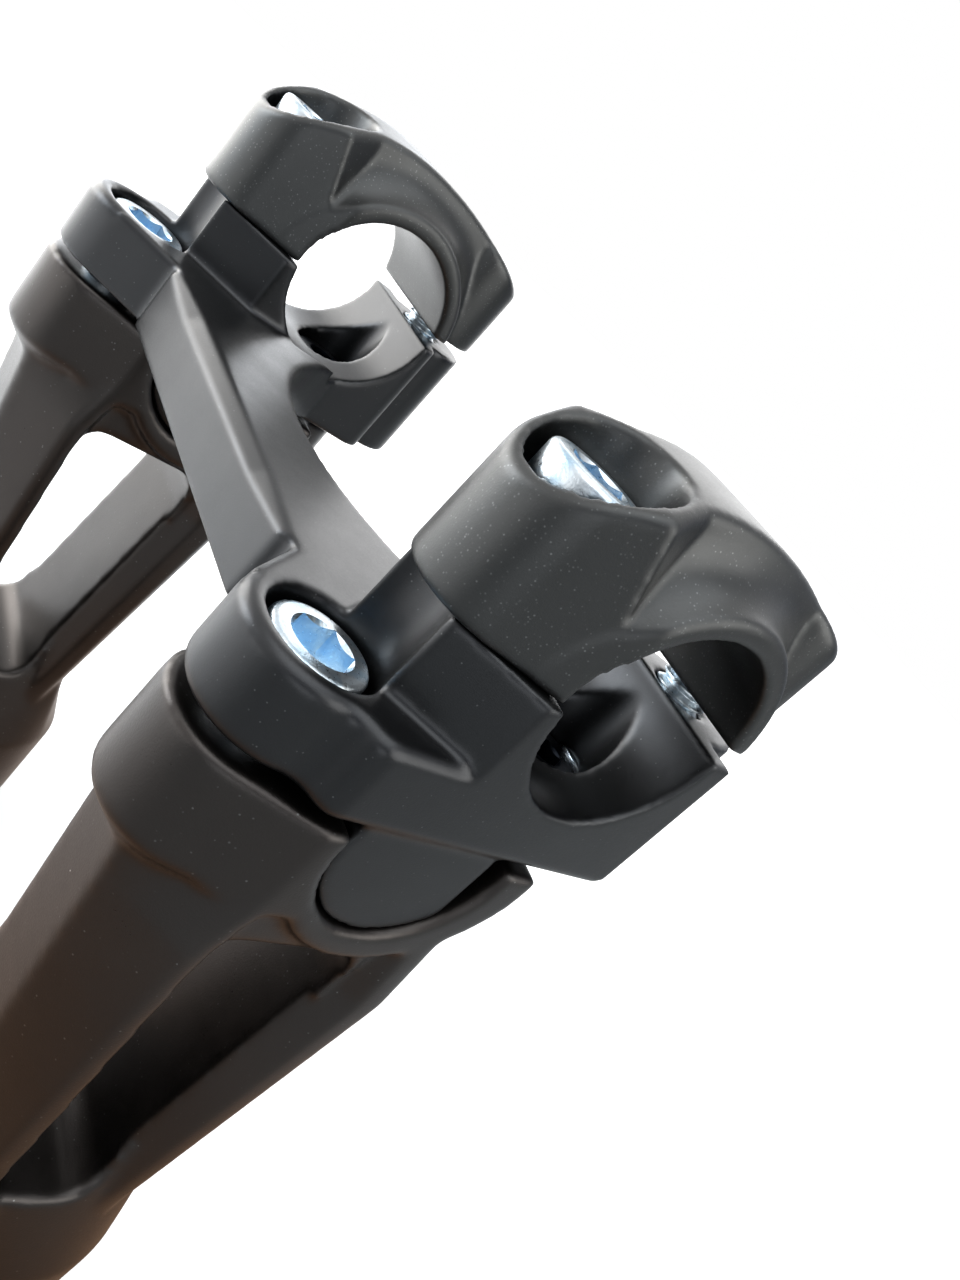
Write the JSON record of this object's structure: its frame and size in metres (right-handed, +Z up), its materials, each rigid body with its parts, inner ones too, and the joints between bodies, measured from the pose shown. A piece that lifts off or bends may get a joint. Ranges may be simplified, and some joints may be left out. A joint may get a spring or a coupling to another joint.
{
  "type": "handlebar riser",
  "caption": "Handlebar riser with forked legs, a one-piece bridge with lower clamp halves, and bolted bar caps.",
  "frame": {"origin": "midway between the two yoke bolt holes, on the underside of the feet", "axes": "+Z up, +X back towards the rider, +Y from the left leg to the right leg, along the handlebar"},
  "size_m": [0.0636, 0.1208, 0.1477],
  "materials": {
    "leg": "satin black anodised",
    "bridge": "satin black anodised",
    "cap": "bead blasted, black anodised",
    "bolt": "zinc plated"
  },
  "bodies": {
    "root": {"clamp_bridge": "bridge", "riser_leg_left": "leg", "riser_leg_right": "leg", "clamp_cap_left": "cap", "clamp_cap_right": "cap", "riser_bolt_left": "bolt", "riser_bolt_right": "bolt", "saddle_bolt_left": "bolt", "saddle_bolt_right": "bolt", "cap_front_bolt_left": "bolt", "cap_front_bolt_right": "bolt", "cap_rear_bolt_left": "bolt", "cap_rear_bolt_right": "bolt"}
  },
  "joints": []
}
